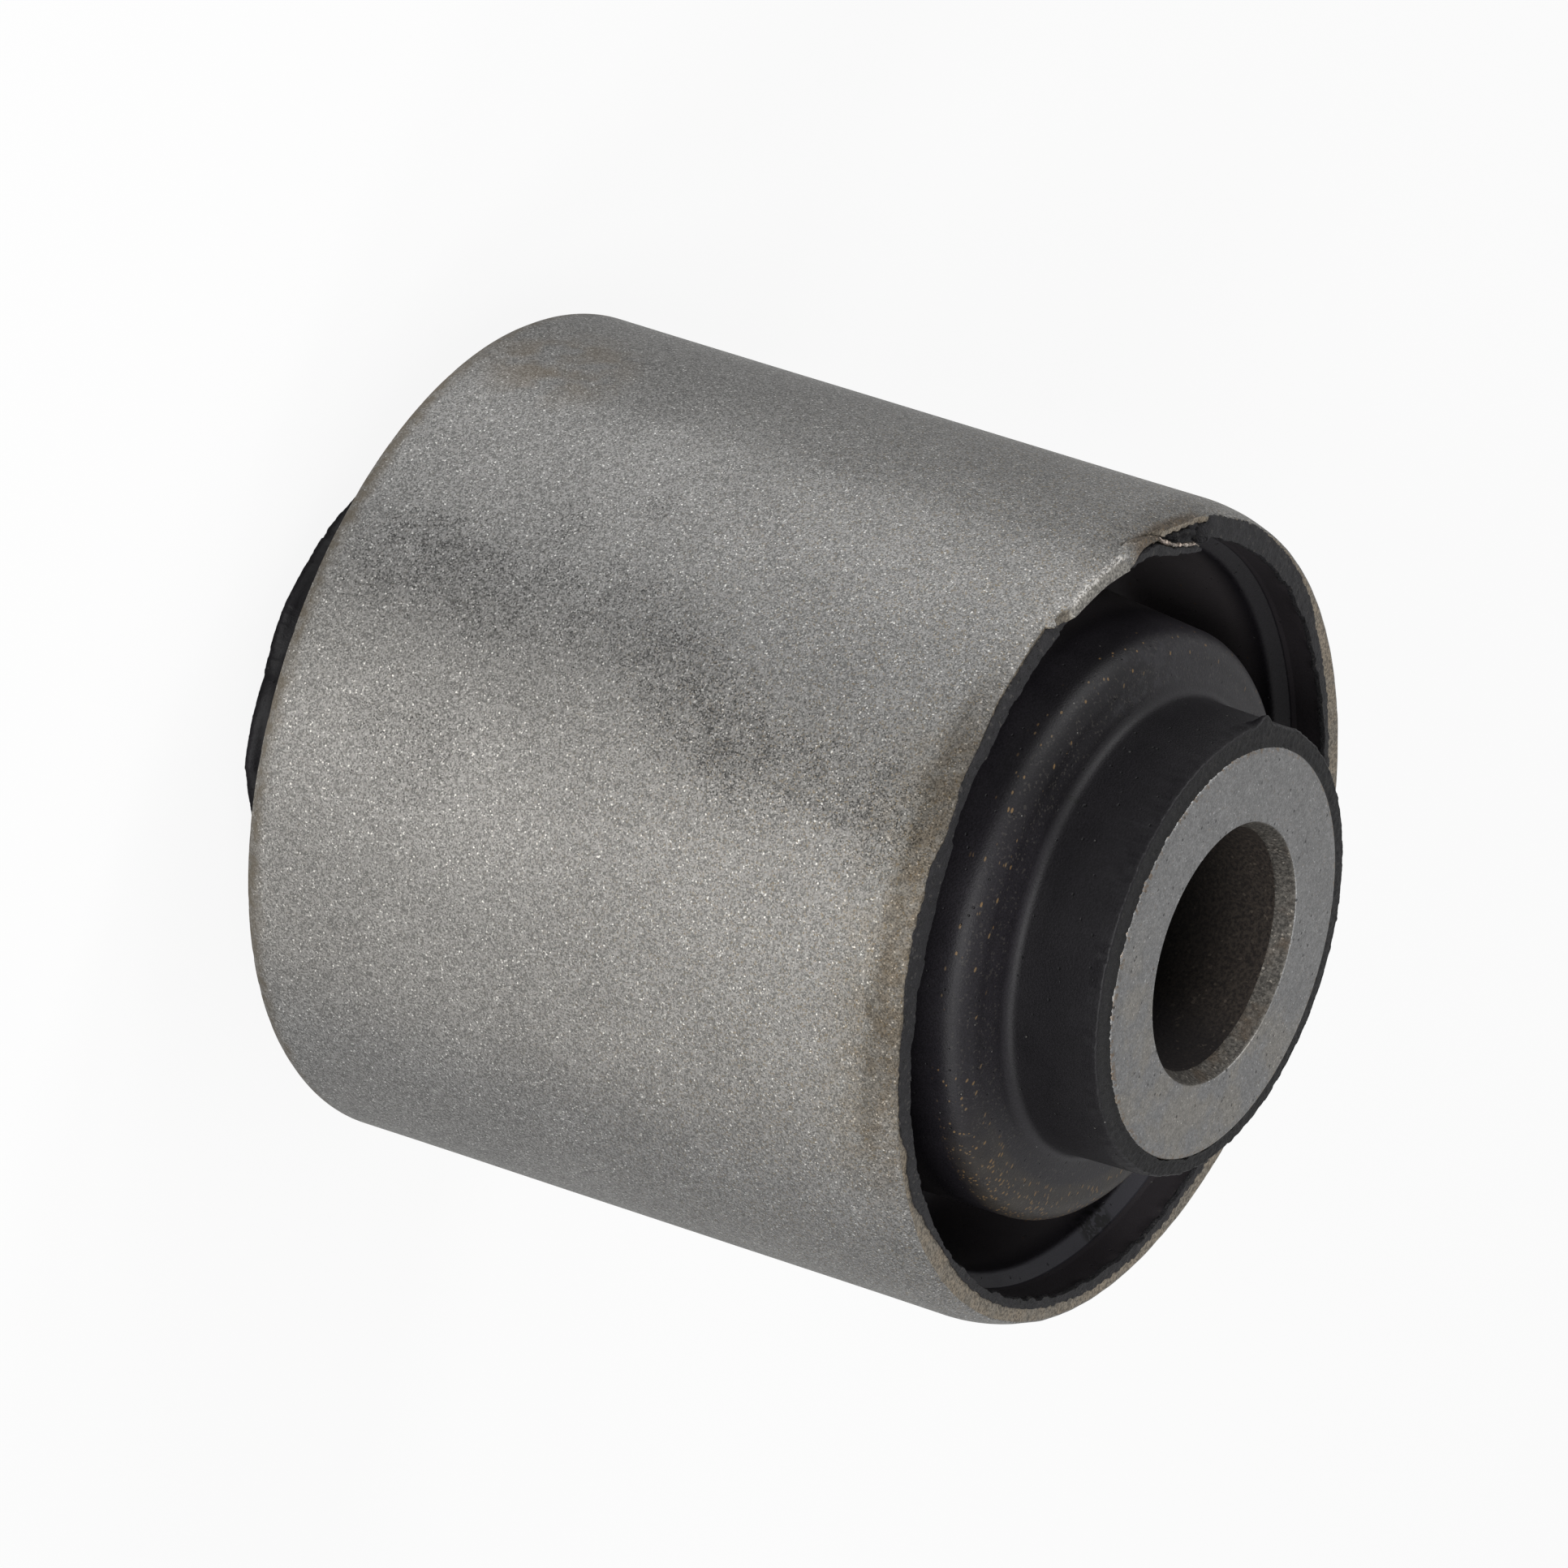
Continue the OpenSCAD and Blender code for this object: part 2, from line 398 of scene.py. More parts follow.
def torn_strip(materials):
    """The peeled strip: a thin ribbon of steel that leaves the flap and crosses the tear."""
    verts = []
    kinds = []
    for i in range(STRIP_STEPS + 1):
        place = i / STRIP_STEPS * (len(STRIP) - 1)
        k = min(int(place), len(STRIP) - 2)
        pairs = zip(STRIP[k], STRIP[k + 1])
        angle, outer, inner, depth = (mixed(p, q, place - k) for p, q in pairs)
        free = smooth(5, 7, place)
        outer += free * (0.04 * jag(angle, outer, 0.22, 5) + 0.03 * ripple(angle, outer, 0, 0.2, 6))
        inner += free * (0.04 * jag(angle, inner, 0.25, 6) + 0.03 * ripple(angle, inner, 0, 0.2, 8))
        depth += 0.06 * free * ripple(angle, outer, 0, 0.35, 9)
        middle = (outer + inner) / 2
        crown = 0.06 + 0.05 * ripple(angle, middle, 0, 0.25, 4)
        foot = depth + mixed(0.6, 0.3, smooth(3, 6, place))
        ring = [(outer, depth + 0.05), (mixed(outer, middle, 0.5), depth - crown * 0.6),
                (middle, depth - crown), (mixed(inner, middle, 0.5), depth - crown * 0.6),
                (inner, depth + 0.05), (inner + 0.03, foot), (outer - 0.03, foot)]
        kinds += [0 if angle > STRIP_FRESH else 1] * len(ring)
        a = math.radians(angle)
        for r, d in ring:
            verts.append((r * math.cos(a), r * math.sin(a), FRONT_Z - d))
    count = len(ring)
    faces = []
    for i in range(STRIP_STEPS):
        for k in range(count):
            n = (k + 1) % count
            faces.append((i * count + k, i * count + n, (i + 1) * count + n, (i + 1) * count + k))
    faces.append(tuple(range(count - 1, -1, -1)))
    faces.append(tuple(STRIP_STEPS * count + k for k in range(count)))
    kinds = kinds[:STRIP_STEPS * count] + [0, 1]
    return make_piece("torn_strip", verts, faces, materials, kinds)


# The inner sleeve

CHAMFER_STEPS = 7


def inner_front(angle, seed):
    """One end of the inner sleeve, from its bore out, as (radius, height)."""
    mouth = 0.03 * ripple(angle, BORE_R, 0, 2.5, seed)
    chamfer = [(BORE_R, HALF_INNER - MOUTH_DEPTH + mouth)]
    top = (BORE_R + MOUTH_WIDTH + mouth, HALF_INNER)
    for r, z in steps_between(chamfer[0], top, CHAMFER_STEPS):
        chamfer.append((r + 0.015 * ripple(angle, r, z, 0.3, seed), z))
    points = [(top[0] - 0.02, top[1] - 0.05), (top[0] + 0.03, HALF_INNER)]
    rim = (INNER_R - CORNER_BREAK, HALF_INNER)
    points += steps_between(points[-1], rim, 5) + [rim]
    points += arc(INNER_R - CORNER_BREAK, HALF_INNER - CORNER_BREAK, CORNER_BREAK, 72, 0, 4)
    return chamfer + points


def inner_section(angle):
    front = inner_front(angle, 1)
    rear = upside_down(inner_front(angle, 2))
    outside = steps_between(front[-1], rear[0], 1)
    inside = steps_between(rear[-1], front[0], 8)
    return front + outside + rear + inside


# The rubber

# Where the moulding ends and its cut ends begin: depths in the mouth, and length on the neck
BODY_TOP, LINK_DEPTH = 1.7, 2.0
NECK_LINK = 1.1
RIM_STEPS, TEAR_STEPS, REAR_RIM_STEPS = 14, 9, 8
NECK_RING_STEPS, NECK_SIDE_STEPS = 8, 4
# Rounding of the trimmed neck's outer edge, and where its side starts below its end
NECK_ROUND, NECK_SIDE = 0.16, 0.2


def rubber_end(angle, neck_r, offset):
    """One end of the rubber moulding, from the inner sleeve out, without its cut ends."""
    neck_top = HALF_INNER - NECK_RELIEF - NECK_LINK
    shoulder_z = HALF_SLEEVE + SHOULDER_RISE
    edge_z = shoulder_z - SHOULDER_FALL
    bulge_r = BULGE_R + offset
    foot_r = BULGE_R + GROOVE_DRAFT
    foot = (LINING_R - foot_r) / 2
    points = [(INNER_R + 0.02, neck_top), (neck_r, neck_top + 0.15)]
    base = (neck_r + NECK_TAPER, shoulder_z + NECK_FILLET)
    points += steps_between(points[-1], base, 4)
    points += arc(base[0] + NECK_FILLET, base[1], NECK_FILLET, 180, 270, 6)
    edge = (bulge_r - SHOULDER_ROUND, edge_z)
    points += steps_between(points[-1], edge, 3)
    points += arc(edge[0], edge[1] - SHOULDER_ROUND, SHOULDER_ROUND, 90, 0, 10)
    foot_z = HALF_SLEEVE - GROOVE_DEPTH + foot
    points += steps_between(points[-1], (foot_r, foot_z), 4)
    points += arc(foot_r + foot, foot_z, foot, 180, 360, 10)
    ledge_low = (LINING_R, HALF_SLEEVE - RIDGE_DEPTH - RIDGE_FALL)
    ledge_high = (MOUTH_R - 0.06, HALF_SLEEVE - RIDGE_DEPTH)
    slope = math.atan2(ledge_high[1] - ledge_low[1], ledge_high[0] - ledge_low[0])
    reach = LEDGE_ROUND * math.tan(math.radians(45) - slope / 2)
    points += steps_between(points[-1], (LINING_R, ledge_low[1] - reach), 3)
    turn = 90 + math.degrees(slope)
    points += arc(LINING_R + LEDGE_ROUND, ledge_low[1] - reach, LEDGE_ROUND, 180, turn, 6)
    points += steps_between(points[-1], ledge_high, 1) + [ledge_high]
    top = HALF_SLEEVE - BODY_TOP
    points += [(MOUTH_R, HALF_SLEEVE - LINK_DEPTH), (MOUTH_R + 0.05, top), (SEAT_R, top)]
    return [(r + 0.02 * ripple(angle, r, z, 3.0, 11), z) for r, z in points]


def rubber_section(angle):
    a = math.radians(angle)
    front = rubber_end(angle, FRONT_NECK_R, LEAN[0] * math.cos(a) + LEAN[1] * math.sin(a))
    rear = rubber_end(angle, REAR_NECK_R, 0)
    return front + upside_down(rear)


def rim_section(angle):
    """The cut edge of the lining at the front end: a thin flash over the steel's end face."""
    soft = course(RIM_INNER, angle) + 0.04 * ripple(angle, MOUTH_R, 0, 0.5, 2)
    inner = soft + 0.05 * jag(angle, MOUTH_R, 0.8, 1) + 0.04 * ripple(angle, MOUTH_R, 0, 0.18, 3)
    outer = course(RIM_OUTER, angle) + 0.06 * ripple(angle, SLEEVE_R, 0, 0.3, 4)
    outer += (0.03 + 0.04 * near(angle, 50, 70)) * jag(angle, SLEEVE_R, 0.3, 3)
    dip = course(END_DIP, angle)
    hidden = between(angle, FLAP_FROM, FLAP_TO, 0.5)
    torn = between(angle, TEAR_FROM, TEAR_TO, 0.3)
    centre, reach, deep = DEEP_NOTCH
    start, stop, shallow = SHALLOW_NOTCH
    notch = deep * near(angle, centre, reach) + shallow * between(angle, start, stop, 0.8)
    points = [(MOUTH_R - 0.01, LINK_DEPTH)]
    for share, depth in RIM_CURVE:
        points.append((mixed(MOUTH_R, soft, share), depth))
    points += [(inner, 0.2), (inner - 0.02, 0.08)]
    flash = 0.1 + 0.03 * ripple(angle, SLEEVE_R, 0, 1.5, 5) - 0.5 * hidden
    for i in range(RIM_STEPS + 1):
        share = i / RIM_STEPS
        r = mixed(inner + 0.05, outer, share)
        sunk = mixed(0, dip * (1 - torn), share ** 1.5) - flash
        sunk += 0.03 * ripple(angle, r, 0, 0.25, 6) + 0.03 * ripple(angle, r, 0, 0.6, 7)
        points.append((r, sunk))
    last_r, last_depth = points[-1]
    foot_r = mixed(last_r + 0.03, course(TEAR_INNER, angle) + 0.04, torn)
    slit = between(angle, SLIT_FROM, SLIT_TO, 1.2)
    for i in range(1, TEAR_STEPS + 1):
        share = i / TEAR_STEPS
        r = mixed(last_r, foot_r, share)
        floor = 0.45 + 0.3 * ripple(angle, r, 0, 0.5, 8) + 0.2 * ripple(angle, r, 0, 0.18, 9)
        floor += 1.2 * slit * max(0.0, 1 - abs(r - SLIT_R) / 0.14)
        points.append((r, mixed(last_depth + 0.16 * share, floor * smooth(0, 0.2, share), torn)))
    link = LINK_DEPTH + 0.6 * torn
    points += [(foot_r, link), (SEAT_R, link)]
    return [(r, HALF_SLEEVE - depth - notch * smooth(*NOTCH_RADII, r)) for r, depth in points]


def rear_rim_section(angle):
    """The cut edge of the lining at the rear end, flush with the steel's end face."""
    inner = MOUTH_R + 0.05 * jag(angle, MOUTH_R, 0.6, 11) + 0.05 * ripple(angle, MOUTH_R, 0, 0.5, 12)
    outer = REAR_RIM_R + 0.3 * ripple(angle, SLEEVE_R, 0, 9, 13)
    outer += 0.08 * ripple(angle, SLEEVE_R, 0, 0.4, 14)
    points = [(MOUTH_R - 0.01, LINK_DEPTH), (mixed(MOUTH_R, inner, 0.7), 0.8), (inner, 0.1)]
    for i in range(REAR_RIM_STEPS + 1):
        r = mixed(inner + 0.05, outer, i / REAR_RIM_STEPS)
        points.append((r, -0.1 + 0.04 * ripple(angle, r, 0, 0.3, 15)))
    points += [(outer + 0.02, 0.06), (SEAT_R, 0.06), (SEAT_R, LINK_DEPTH)]
    return upside_down([(r, HALF_SLEEVE - depth) for r, depth in points])


def neck_end(angle, neck_r, end_r, relief, seed):
    """The trimmed end of the rubber on the inner sleeve: a coarse ring round the end face."""
    top = HALF_INNER - relief
    side_top = top - NECK_SIDE
    coarse = 0.06 * jag(angle, neck_r, 0.5, seed) + 0.08 * ripple(angle, neck_r, 0, 0.35, seed)
    lap = INNER_R - 0.12 + 0.07 * ripple(angle, INNER_R, 0, 0.7, seed) + 0.5 * coarse
    lap += 0.13 * near(angle, 20, 70)
    outer = end_r + 0.4 * coarse
    points = [(INNER_R - 0.25, top - NECK_LINK - 0.1), (lap, top), (lap + 0.03, top + 0.1)]
    for i in range(1, NECK_RING_STEPS + 1):
        share = i / NECK_RING_STEPS
        r = mixed(lap + 0.03, outer - NECK_ROUND, share)
        z = top + 0.07 * ripple(angle, r, 0, 0.3, seed + 1) + 0.04 * ripple(angle, r, 0, 0.14, seed + 2)
        points.append((r, z + 0.1 * (1 - smooth(0, 0.3, share)) - 0.05 * smooth(0.5, 1, share)))
    for r, z in arc(outer - NECK_ROUND, side_top, NECK_ROUND, 70, 0, 3):
        points.append((r + 0.03 * ripple(angle, r, z, 0.2, seed + 3), z))
    for i in range(1, NECK_SIDE_STEPS + 1):
        z = mixed(side_top, top - NECK_LINK, i / NECK_SIDE_STEPS)
        fade = 1 - smooth(0, 1, i / NECK_SIDE_STEPS)
        wobble = 0.01 * fade * ripple(angle, outer, z, 0.25, 5)
        points.append((mixed(neck_r + 0.005, outer, fade) + wobble, z))
    return points


def front_neck_section(angle):
    end_r = FRONT_NECK_R
    for centre, reach, amount in NECK_SHAPE:
        end_r += amount * near(angle, centre, reach)
    return neck_end(angle, FRONT_NECK_R, end_r, NECK_RELIEF, 21)


def rear_neck_section(angle):
    end = neck_end(angle, REAR_NECK_R, course(REAR_FLARE, angle), REAR_NECK_RELIEF, 31)
    return upside_down(end)


# Materials. Lengths in their nodes are in millimetres too.

class Shading:
    """A material under construction, with short calls for the nodes that it is made of."""

    def __init__(self, name, metallic, roughness, specular=0.5):
        self.material = bpy.data.materials.new(name)
        self.material.use_nodes = True
        self.tree = self.material.node_tree
        self.shader = self.tree.nodes["Principled BSDF"]
        self.shader.inputs["Metallic"].default_value = metallic
        self.shader.inputs["Roughness"].default_value = roughness
        self.shader.inputs["Specular IOR Level"].default_value = specular
        place = self.node("TexCoord").outputs["Object"]
        scaled = self.node("VectorMath", place, operation="SCALE")
        scaled.inputs["Scale"].default_value = 1 / MM
        self.place = scaled.outputs[0]
        self.x, self.y, self.z = self.node("SeparateXYZ", self.place).outputs
        squares = self.calc("ADD", self.times(self.x, self.x), self.times(self.y, self.y))
        self.radius = self.calc("SQRT", squares)

    def node(self, kind, *values, **settings):
        return add_node(self.tree, kind, *values, **settings)

    def calc(self, operation, a, b=0.0):
        return self.node("Math", a, b, operation=operation).outputs[0]

    def times(self, a, *others):
        for b in others:
            a = self.calc("MULTIPLY", a, b)
        return a

    def less(self, share, strength=1.0):
        """What a share leaves of 1 at this strength."""
        return self.calc("SUBTRACT", 1.0, self.times(share, strength))

    def ramp(self, value, low, high, out_low=0.0, out_high=1.0):
        """An even step from out_low to out_high as the value goes from low to high."""
        values = (value, low, high, out_low, out_high)
        return self.node("MapRange", *values, interpolation_type="SMOOTHSTEP").outputs[0]

    def spread(self, share, low, high):
        """From low to high as a share goes from 0 to 1."""
        return self.ramp(share, 0.0, 1.0, low, high)

    def front(self, low, high, out_low=0.0, out_high=1.0):
        """A ramp over heights above the outer sleeve's front end plane."""
        return self.ramp(self.z, FRONT_Z + low, FRONT_Z + high, out_low, out_high)

    def ends(self, low, high):
        """A ramp over how far a place lies outside the outer sleeve's nearer end plane."""
        away = self.calc("ABSOLUTE", self.calc("SUBTRACT", self.z, MID_Z))
        return self.ramp(away, HALF_SLEEVE + low, HALF_SLEEVE + high)

    def stretched(self, x, y, z):
        """The place, with each axis scaled by its own factor."""
        return self.node("VectorMath", self.place, (x, y, z), operation="MULTIPLY").outputs[0]

    def noise(self, grain, detail=2.0, rough=0.5, place=None):
        """Noise from 0 to 1 whose lumps are grain wide."""
        node = self.node("TexNoise", place or self.place, 0.0, 1 / grain, detail, rough)
        return node.outputs["Fac"]

    def cells(self, grain, place=None):
        """Distance from the nearest of scattered points, and three chances for that point."""
        node = self.node("TexVoronoi", place or self.place, 0.0, 1 / grain)
        chances = self.node("SeparateColor", node.outputs["Color"])
        return node.outputs["Distance"], list(chances.outputs)

    def blend(self, share, a, b, kind="MIX"):
        node = self.node("Mix", share, data_type="RGBA", blend_type=kind)
        put(self.tree, a, node.inputs[6])
        put(self.tree, b, node.inputs[7])
        return node.outputs[2]

    def layer(self, color, share, strength, tint, kind="MIX"):
        """A colour under a tint, which has this strength where the share is 1."""
        return self.blend(self.times(share, strength), color, tint, kind)

    def shaded(self, color, level):
        """A colour times a plain level."""
        grey = self.node("CombineColor", level, level, level)
        return self.blend(1.0, color, grey.outputs[0], "MULTIPLY")

    def towards(self, angle):
        """Cosine of the angle between this place, seen from the bore, and a direction."""
        a = math.radians(angle)
        along = self.calc("ADD", self.times(self.x, math.cos(a)), self.times(self.y, math.sin(a)))
        return self.calc("DIVIDE", along, self.radius)

    def sector(self, angle, half, edge):
        """1 within half degrees of a direction, falling to 0 over edge degrees."""
        outside, inside = math.cos(math.radians(half + edge)), math.cos(math.radians(half))
        return self.ramp(self.towards(angle), outside, inside)

    def spot(self, angle, z, reach, height):
        """A soft-edged oval on the sleeve's wall: reach and height are its half sizes."""
        a = math.radians(angle)
        around = self.calc("ADD", self.times(self.x, -math.sin(a) / reach),
                           self.times(self.y, math.cos(a) / reach))
        up = self.times(self.calc("SUBTRACT", self.z, z), 1 / height)
        away = self.calc("SQRT", self.calc("ADD", self.times(around, around), self.times(up, up)))
        return self.times(self.ramp(away, 1.6, 0.4), self.ramp(self.towards(angle), 0.2, 0.6))

    def bump(self, height, depth, below=None):
        """A bump whose full height is depth, on top of the bump below."""
        node = self.node("Bump", 1.0, depth * MM)
        put(self.tree, height, node.inputs["Height"])
        if below is not None:
            put(self.tree, below, node.inputs["Normal"])
        return node.outputs[0]

    def finish(self, color, roughness=None, normal=None):
        sockets = {"Base Color": color, "Roughness": roughness, "Normal": normal}
        for name, value in sockets.items():
            if value is not None:
                put(self.tree, value, self.shader.inputs[name])
        return self.material


# Colours that come more than once
BLACK, PIT_BLACK = (0.002, 0.002, 0.002), (0.003, 0.003, 0.003)
# The colour of painted highlights
PAINTED_HIGHLIGHT = (0.62, 0.60, 0.57)
# Speckled dark stains on the sleeve's wall, as (angle, height above the sleeve's rear end,
# reach, height, strength)
STAINS = [(252, 4.8, 2.8, 3.0, 0.5), (250, 8.0, 2.6, 3.2, 0.32), (253.5, 11.5, 2.8, 3.6, 0.34),
          (252, 18.5, 2.8, 6.0, 0.38), (257, 24, 2.6, 3.0, 0.34), (262, 27.5, 2.8, 3.6, 0.52),
          (266, 31, 2.4, 3.2, 0.38), (262, 35.5, 2.8, 4.0, 0.34), (267, 39.2, 2.4, 2.8, 0.45),
          (276, 9.5, 3.0, 3.4, 0.2), (233, 17.7, 1.0, 0.8, 0.45), (241, 13.3, 1.8, 1.4, 0.25)]


def crease_highlight(m):
    """1 where a highlight is painted along the crease at the flap's outer edge, broken up by noise."""
    outer = m.ramp(m.radius, SLEEVE_R - 0.44, SLEEVE_R - 0.56)
    inner = m.ramp(m.radius, SLEEVE_R - 0.85, SLEEVE_R - 0.7)
    along = m.sector((FLAP_FROM + FLAP_TO) / 2 + 0.5, 5.5, 2)
    breaks = m.ramp(m.noise(0.2, 2.0, 0.7), 0.46, 0.58)
    return m.times(inner, outer, m.front(-0.3, -0.1), along, breaks)


def blasted_steel():
    """Grit-blasted grey steel: fine bright grain, dark stains, and browned, smoother ends."""
    m = Shading("sleeve_steel", 0.85, 0.6)
    # The bush reads as ground round its girth: gloss spreads along the bore
    m.shader.inputs["Anisotropic"].default_value = 0.8
    m.shader.inputs["Anisotropic Rotation"].default_value = 0.25
    _, grit = m.cells(0.085)
    level = m.times(m.spread(grit[1], 0.6, 1.4), m.ramp(grit[0], 0.92, 1.0, 1.0, 2.2),
                    m.ramp(m.noise(7.0, 3.0, 0.55), 0.3, 0.7, 0.95, 1.05))
    stain = 0.0
    for angle, z, reach, height, strength in STAINS:
        stain = m.calc("ADD", stain, m.times(m.spot(angle, REAR_Z + z, reach, height), strength))
    stain = m.times(stain, m.ramp(m.noise(1.6, 3.0, 0.6), 0.35, 0.65, 0.35, 1.0))
    speck = m.calc("LESS_THAN", grit[2], m.times(stain, 0.6))
    # Painted shade: the wall is darker along the -X side
    painted_side_shade = m.spread(m.sector(203, 8, 12), 1.0, 0.86)
    level = m.times(level, m.less(speck, 0.55), m.less(stain, 0.15), painted_side_shade)
    grey = m.blend(m.sector(288, 16, 24), (0.276, 0.273, 0.266), (0.280, 0.272, 0.257))
    color = m.shaded(grey, level)
    ochre = m.times(m.ramp(grit[2], 0.88, 0.97), m.ramp(m.z, REAR_Z + 12, FRONT_Z - 4, 0.1, 0.6))
    color = m.blend(ochre, color, (0.29, 0.23, 0.14))
    rust = m.times(m.spot(212, REAR_Z + 5.2, 4.0, 3.6), m.ramp(m.noise(2.2), 0.35, 0.65))
    color = m.layer(color, rust, 0.4, (0.20, 0.15, 0.09))
    # Both ends are worn smoother and browner, the front one most near the -Y side
    wave = m.noise(1.1, 3.0)
    lip = m.ramp(m.calc("ADD", m.z, wave), FRONT_Z - 2.2, FRONT_Z - 0.7)
    foot = m.ramp(m.calc("ADD", m.z, m.noise(1.5)), REAR_Z + 2.0, REAR_Z + 0.9)
    patches = m.ramp(m.noise(0.9, 3.0, 0.6), 0.35, 0.65)
    worn = m.calc("ADD", m.times(m.sector(284, 22, 24), 0.5), m.spread(patches, 0.15, 0.25))
    worn = m.times(worn, m.ramp(m.towards(350), 0.6, 0.95, 1.0, 0.3))
    color = m.blend(m.times(lip, worn), color, (0.32, 0.275, 0.21), "MULTIPLY")
    color = m.blend(m.times(foot, m.spread(patches, 0.35, 0.8)), color, (0.16, 0.135, 0.10))
    # Browner patches, and an even darkening from about 2 to 6 mm below the front end, on the -Y side
    low = m.times(m.front(-6.0, -2.0), m.sector(285, 25, 15))
    color = m.layer(color, m.times(low, patches), 0.3, (0.86, 0.70, 0.50), "MULTIPLY")
    front_darkening = m.times(low, m.front(-0.9, -1.8))
    color = m.layer(color, front_darkening, 0.6, (0.82, 0.82, 0.80), "MULTIPLY")
    # The steel bent up above the tear is browned and gritty
    bent = m.ramp(m.calc("ADD", m.z, m.times(wave, 0.5)), FRONT_Z - 0.6, FRONT_Z)
    tear_side = m.times(m.sector(203, 7.5, 3), bent)
    color = m.layer(color, tear_side, 0.8, (0.50, 0.39, 0.28), "MULTIPLY")
    # A painted highlight along the crease at the flap's outer edge
    color = m.layer(color, crease_highlight(m), 0.9, PAINTED_HIGHLIGHT)
    fine = m.noise(0.11, 2.0, 0.6)
    relief = m.bump(m.times(fine, m.less(lip, 0.5)), 0.04)
    return m.finish(color, None, m.bump(m.noise(0.5), 0.012, relief))


def bare_steel():
    """The sleeve's end face, sheared bare and browned; gritty like the wall on the flap."""
    m = Shading("end_steel", 0.8, 0.5)
    grain = m.noise(0.15, 3.0, 0.6)
    clouds = m.ramp(m.noise(1.4, 2.0, 0.6), 0.35, 0.65)
    brown = m.blend(clouds, (0.23, 0.195, 0.15), (0.19, 0.17, 0.14))
    _, grit = m.cells(0.11)
    brown = m.shaded(brown, m.spread(grit[0], 0.6, 1.45))
    grey = m.shaded((0.225, 0.215, 0.195), m.spread(grit[1], 0.6, 1.45))
    flap = m.sector((FLAP_FROM + FLAP_TO) / 2, (FLAP_TO - FLAP_FROM) / 2, 0.7)
    # A painted highlight along the crease at the flap's outer edge
    color = m.layer(m.blend(flap, brown, grey), crease_highlight(m), 0.9, PAINTED_HIGHLIGHT)
    return m.finish(color, None, m.bump(grain, 0.05))


def peeled_steel():
    """The fresh, pinkish steel of the torn strip."""
    m = Shading("strip_steel", 0.8, 0.38)
    grain = m.noise(0.12, 3.0, 0.6)
    color = m.blend(m.ramp(m.noise(0.5), 0.35, 0.65), (0.36, 0.30, 0.26), (0.24, 0.215, 0.19))
    color = m.shaded(color, m.ramp(grain, 0.3, 0.7, 0.5, 1.4))
    return m.finish(color, None, m.bump(grain, 0.05))


def face_steel():
    """The inner sleeve's end faces: light grey with fine pits, warmer in patches."""
    m = Shading("face_steel", 0.85, 0.42)
    grain = m.noise(0.1, 2.0, 0.7)
    clouds = m.noise(2.2, 3.0, 0.6)
    mottle = m.noise(0.45, 3.0, 0.7)
    _, grit = m.cells(0.085)
    distance, chances = m.cells(0.6)
    pit = m.times(m.ramp(distance, 0.2, 0.1), m.ramp(chances[1], 0.5, 0.55))
    tone = m.blend(m.times(m.sector(0, 60, 40), m.ramp(clouds, 0.4, 0.6)),
                   (0.202, 0.202, 0.202), (0.209, 0.200, 0.184))
    level = m.times(m.spread(grit[0], 0.8, 1.2), m.ramp(clouds, 0.3, 0.7, 0.95, 1.05),
                    m.ramp(mottle, 0.3, 0.7, 0.87, 1.13), m.ramp(grit[1], 0.965, 1.0, 1.0, 1.8),
                    m.less(pit, 0.65))
    # Tan chips along the edge that the rubber covers
    chip = m.ramp(m.radius, INNER_R - 0.42, INNER_R - 0.22)
    chip = m.times(chip, m.ramp(m.noise(0.35, 3.0, 0.7), 0.5, 0.6))
    color = m.layer(m.shaded(tone, level), chip, 0.65, (0.17, 0.12, 0.075))
    ochre = m.times(m.ramp(grit[2], 0.9, 0.97), m.ramp(mottle, 0.45, 0.65, 0.0, 0.5))
    color = m.blend(ochre, color, (0.17, 0.125, 0.08))
    relief = m.bump(m.calc("SUBTRACT", grain, m.times(pit, 2.0)), 0.02)
    return m.finish(color, None, relief)


def mouth_steel():
    """The bore's chamfer: coarse, granular and brown-grey, with painted glints."""
    m = Shading("mouth_steel", 0.5, 0.55)
    grain = m.noise(0.22, 3.0, 0.65)
    color = m.blend(m.ramp(grain, 0.38, 0.62), (0.027, 0.024, 0.020), (0.083, 0.076, 0.066))
    color = m.blend(m.ramp(m.noise(1.8), 0.5, 0.7, 0.0, 0.6), color, (0.06, 0.043, 0.028))
    _, grit = m.cells(0.13)
    # Grain, and painted glints in a few of its brightest cells
    level = m.times(m.spread(grit[0], 0.7, 1.2), m.ramp(grit[1], 0.93, 1.0, 1.0, 3.0))
    color = m.shaded(color, level)
    edge = m.ramp(m.radius, BORE_R + MOUTH_WIDTH - 0.1, BORE_R + MOUTH_WIDTH)
    edge = m.times(edge, m.ramp(m.noise(0.3, 3.0, 0.7), 0.44, 0.56, 0.1, 1.0))
    color = m.blend(edge, color, (0.15, 0.14, 0.125))
    return m.finish(color, None, m.bump(grain, 0.09))


def bore_rust():
    """The bore's wall: dark brown-black with a few pale grains, and painted shade deeper in."""
    m = Shading("bore_rust", 0.0, 0.75, 0.14)
    grain = m.noise(0.2, 3.0, 0.7)
    _, chances = m.cells(0.16)
    color = m.blend(m.ramp(grain, 0.35, 0.65), (0.013, 0.0104, 0.0095), (0.041, 0.033, 0.027))
    # Painted shade: darker deeper in the bore, away from its front end
    color = m.shaded(color, m.front(-0.5, 6.0, 0.18, 0.85))
    # Its wall on the +X side is darker, nearly black
    color = m.layer(color, m.sector(12, 28, 30), 0.75, (0.0085, 0.0075, 0.0082))
    pale = m.times(m.ramp(chances[0], 0.95, 1.0, 0.0, 0.35), m.front(0.5, 5.5, 0.2, 1.0))
    color = m.blend(pale, color, (0.12, 0.10, 0.08))
    return m.finish(color, None, m.bump(grain, 0.12))


